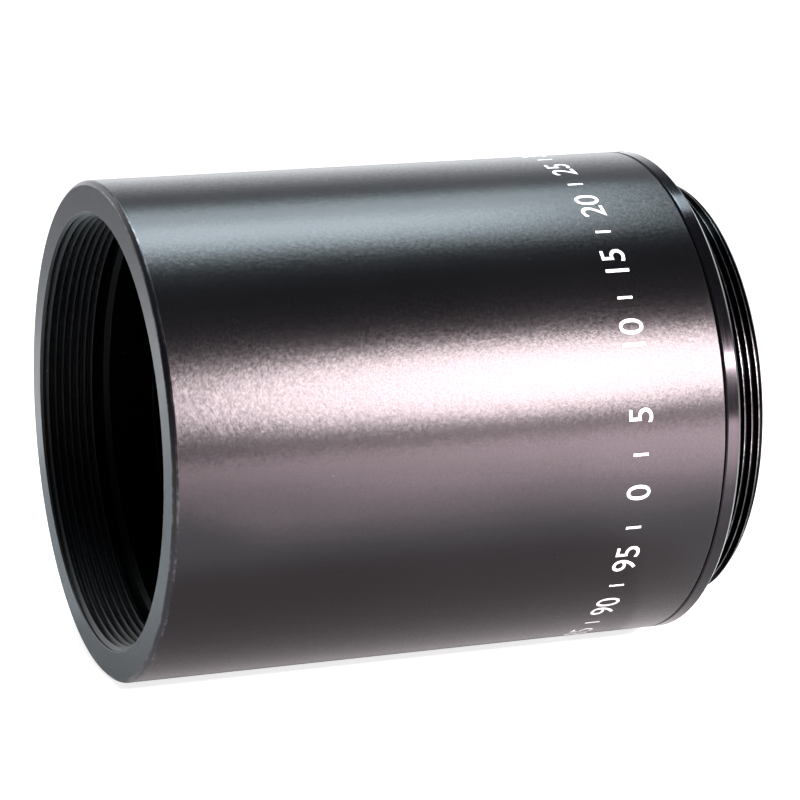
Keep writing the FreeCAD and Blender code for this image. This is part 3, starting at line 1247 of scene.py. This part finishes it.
@dataclass(frozen=True)
class Softbox:
    """A soft lamp, in metres."""

    name: str
    centre: Place
    aim: Place
    width: float
    height: float
    radiance: float
    colour: Colour
    reach: Reach = Reach.ALL
    outline: Outline = Outline.SQUARE

    def build(self, tube: Piece) -> None:
        """Hangs the lamp.

        Args:
            tube: the blasted tube, which some lamps light alone and others leave out.
        """
        lamp = bpy.data.lights.new(self.name, "AREA")
        lamp.shape, lamp.size, lamp.size_y = self.outline.value, self.width, self.height
        area = self.width * self.height * (math.pi / 4 if self.outline is Outline.OVAL else 1.0)
        lamp.energy = self.radiance * math.pi * area
        lamp.color = self.colour
        made = bpy.data.objects.new(self.name, lamp)
        made.location = self.centre
        made.rotation_mode = "QUATERNION"
        made.rotation_quaternion = (Vector(self.aim) - Vector(self.centre)).to_track_quat("-Z", "Y")
        made.visible_camera = False
        bpy.context.scene.collection.objects.link(made)
        if self.reach is not Reach.ALL:
            lit = bpy.data.collections.new(f"{self.name}_reach")
            lit.objects.link(tube)
            lit.collection_objects[0].light_linking.link_state = self.reach.value
            made.light_linking.receiver_collection = lit


@dataclass
class Studio:
    """Pale floor, soft lamps, a pale backdrop and the camera."""

    finishes: Finishes
    tube: Piece
    floor_height: float = -0.024
    floor_reach: float = 4.0
    bounce_aim: float = 0.5
    camera_place: Place = (-0.1431, -0.3052, 0.0702)
    camera_forward: Place = (0.35189, 0.91274, -0.20757)
    focal_length: float = 152.85
    sensor: float = 36.0
    room: Colour = (0.075, 0.085, 0.11)
    backdrop: Colour = (1.5, 1.55, 1.6)
    front_wall: Colour = (0.6, 0.55, 0.6)
    pale: Colour = (1.0, 1.0, 1.0)
    wall_sides: tuple[float, float] = (0.15, 0.65)
    backdrop_top: tuple[float, float] = (0.2, 0.78)
    front_wall_top: tuple[float, float] = (0.12, 0.3)

    def floor(self) -> None:
        """Lays the floor."""
        shape = bmesh.new()
        bmesh.ops.create_grid(shape, x_segments=8, y_segments=8, size=self.floor_reach)
        for v in shape.verts:
            v.co.z = self.floor_height
        board = placed("floor", shape, (self.finishes.floor,))

    def lamps(self) -> None:
        """Hangs the lamps. A row ends with the lamp's width, height, radiance, colour, reach and outline."""
        pink, rose, warm = (1.0, 0.88, 0.91), (1.0, 0.88, 0.88), (1.0, 0.78, 0.83)
        blue, sky, white = (0.76, 0.94, 1.0), (0.79, 0.96, 1.0), (1.0, 1.0, 1.0)
        tube, others, oval = Reach.TUBE, Reach.OTHERS, Outline.OVAL
        side, crown = (-0.023, 0.007), (-0.012, 0.0205)
        for name, place, aim, *rest in (
            ("key", (0.19, -0.2989, 0.1247), side, 0.28, 0.028, 80.0, pink, others),
            ("key_core", (0.24, -0.2989, 0.1247), side, 0.2, 0.028, 190.0, pink, others),
            ("soft_key", (0.114, -0.2989, 0.1215), side, 0.158, 0.192, 30.0, rose, tube, oval),
            ("soft_key_core", (0.19, -0.2989, 0.1215), side, 0.19, 0.12, 12.0, rose, tube, oval),
            ("top", (-0.01, 0.0723, 0.2559), crown, 0.26, 0.0525, 13.5, blue, others),
            ("top_left", (-0.03, 0.0598, 0.26), crown, 0.2, 0.0437, 25.0, blue, others),
            ("soft_top", (-0.015, 0.076, 0.257), crown, 0.26, 0.168, 5.1, sky, tube),
            ("soft_top_core", (-0.02, 0.0598, 0.26), crown, 0.22, 0.07, 6.2, sky, tube),
        ):
            Softbox(name, place, (place[0], *aim), *rest).build(self.tube)
        Softbox("back", (-0.45, 0.6, 0.35), (-0.028, 0.0, 0.0), 0.35, 0.35, 1.2, white).build(self.tube)
        for name, x, y, z, *rest in (
            ("left_bounce", -0.1, 0.135, -0.0237, 0.11, 0.085, 0.85, white),
            ("far_bounce", 0.23, -0.2313, -0.0233, 0.4, 0.3, 1.5, warm),
            ("wide_bounce", 0.18, -0.2142, -0.0234, 0.4, 0.3, 1.8, warm),
            ("middle_bounce", 0.21, -0.206, -0.0235, 0.4, 0.3, 1.5, warm),
            ("low_bounce", 0.16, -0.198, -0.0236, 0.4, 0.3, 1.1, warm),
            ("near_bounce", 0.16, -0.19, -0.02365, 0.4, 0.3, 0.7, warm),
            ("side_bounce", 0.096, 0.04, -0.0237, 0.2, 0.2, 0.2, white),
        ):
            Softbox(name, (x, y, z), (x, y, self.bounce_aim), *rest).build(self.tube)

    def world(self) -> None:
        """Makes a dim room with a pale wall behind the tube; the camera sees it pale all round."""
        world = bpy.data.worlds.new("studio")
        world.use_nodes = True
        bpy.context.scene.world = world
        tree = Tree(world.node_tree)
        direction = tree.add("ShaderNodeTexCoord").outputs["Generated"]
        parts = tree.add("ShaderNodeSeparateXYZ", {0: direction}).outputs
        near_sides = (-side for side in self.wall_sides)
        behind, before = (
            tree.math("MULTIPLY", tree.ramp(parts[1], *sides), tree.ramp(parts[2], *top, 1.0, 0.0))
            for sides, top in ((self.wall_sides, self.backdrop_top), (near_sides, self.front_wall_top))
        )
        wall = tree.mix(before, tree.mix(behind, self.room, self.backdrop), self.front_wall)
        seen = tree.mix(tree.add("ShaderNodeLightPath").outputs["Is Camera Ray"], wall, self.pale)
        tree.tree.links.new(seen, world.node_tree.nodes["Background"].inputs["Color"])

    def camera(self) -> None:
        """Sets the camera where the photograph was taken from."""
        data = bpy.data.cameras.new("camera")
        data.lens, data.sensor_width = self.focal_length, self.sensor
        data.clip_start, data.clip_end = 0.01, 50.0
        made = bpy.data.objects.new("camera", data)
        made.location = self.camera_place
        made.rotation_mode = "QUATERNION"
        made.rotation_quaternion = Vector(self.camera_forward).to_track_quat("-Z", "Y")
        bpy.context.scene.collection.objects.link(made)
        bpy.context.scene.camera = made

    def build(self) -> None:
        """Sets up the whole studio."""
        self.floor()
        self.lamps()
        self.world()
        self.camera()
        bpy.context.scene.view_settings.view_transform = "Standard"
        log.info("studio: floor, lamps, backdrop and camera")


def main() -> None:
    """Builds the sub-assemblies in order and reports each piece."""
    logging.basicConfig(level=logging.INFO, format="%(name)s: %(message)s")
    Effects.build()
    finishes, mount = Finishes(), Mount()
    tube = Barrel(finishes, mount).build()
    MountRing(finishes, mount).build()
    Cell(finishes).build()
    Glass(finishes).build()
    CarriedNodes(finishes).dress()
    ScalePrint(finishes).build()
    Studio(finishes, tube).build()
    bpy.context.view_layer.update()


if __name__ == "__main__":
    main()
